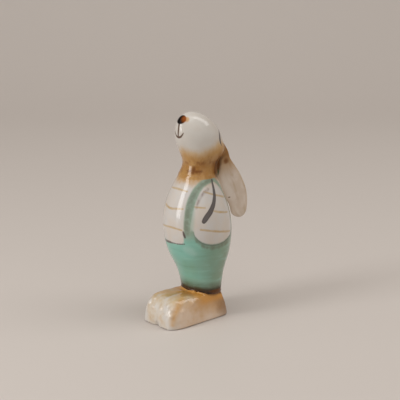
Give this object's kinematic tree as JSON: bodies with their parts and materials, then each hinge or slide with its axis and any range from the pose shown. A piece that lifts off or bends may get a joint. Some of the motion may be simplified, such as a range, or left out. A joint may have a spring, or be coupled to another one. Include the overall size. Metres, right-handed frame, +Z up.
{
  "type": "ceramic hare figurine",
  "caption": "Standing hare ornament in glazed ceramic: slender dressed body, raised muzzle, drooping ears and long feet; a shelf decoration that stands on its flat soles.",
  "frame": {"origin": "on the surface it stands on, under the middle of its bounding box", "axes": "+Z up; the hare faces -Y, and its left side is +X"},
  "size_m": [0.0408, 0.0649, 0.1273],
  "materials": {
    "glazed_shirt": "gloss glaze over hand-painted cream, ochre stripes and mint green",
    "glazed_head": "gloss glaze, white above running to honey brown at the neck",
    "glazed_foot": "gloss glaze, cream mottled with ochre",
    "glazed_ear": "gloss glaze, cream, browner at the root",
    "neck_slip_glaze": "gloss glaze pooled dark in the joint",
    "ankle_slip_glaze": "gloss glaze pooled dark in the joint",
    "ear_slip_glaze": "gloss glaze pooled dark in the joint"
  },
  "bodies": {
    "root": {"torso_casting": "glazed_shirt", "head_casting": "glazed_head", "neck_slip_seam": "neck_slip_glaze", "ankle_slip_seam": "ankle_slip_glaze", "left_foot": "glazed_foot", "right_foot": "glazed_foot", "left_ear": "glazed_ear", "right_ear": "glazed_ear", "left_ear_slip_seam": "ear_slip_glaze", "right_ear_slip_seam": "ear_slip_glaze"}
  },
  "joints": []
}
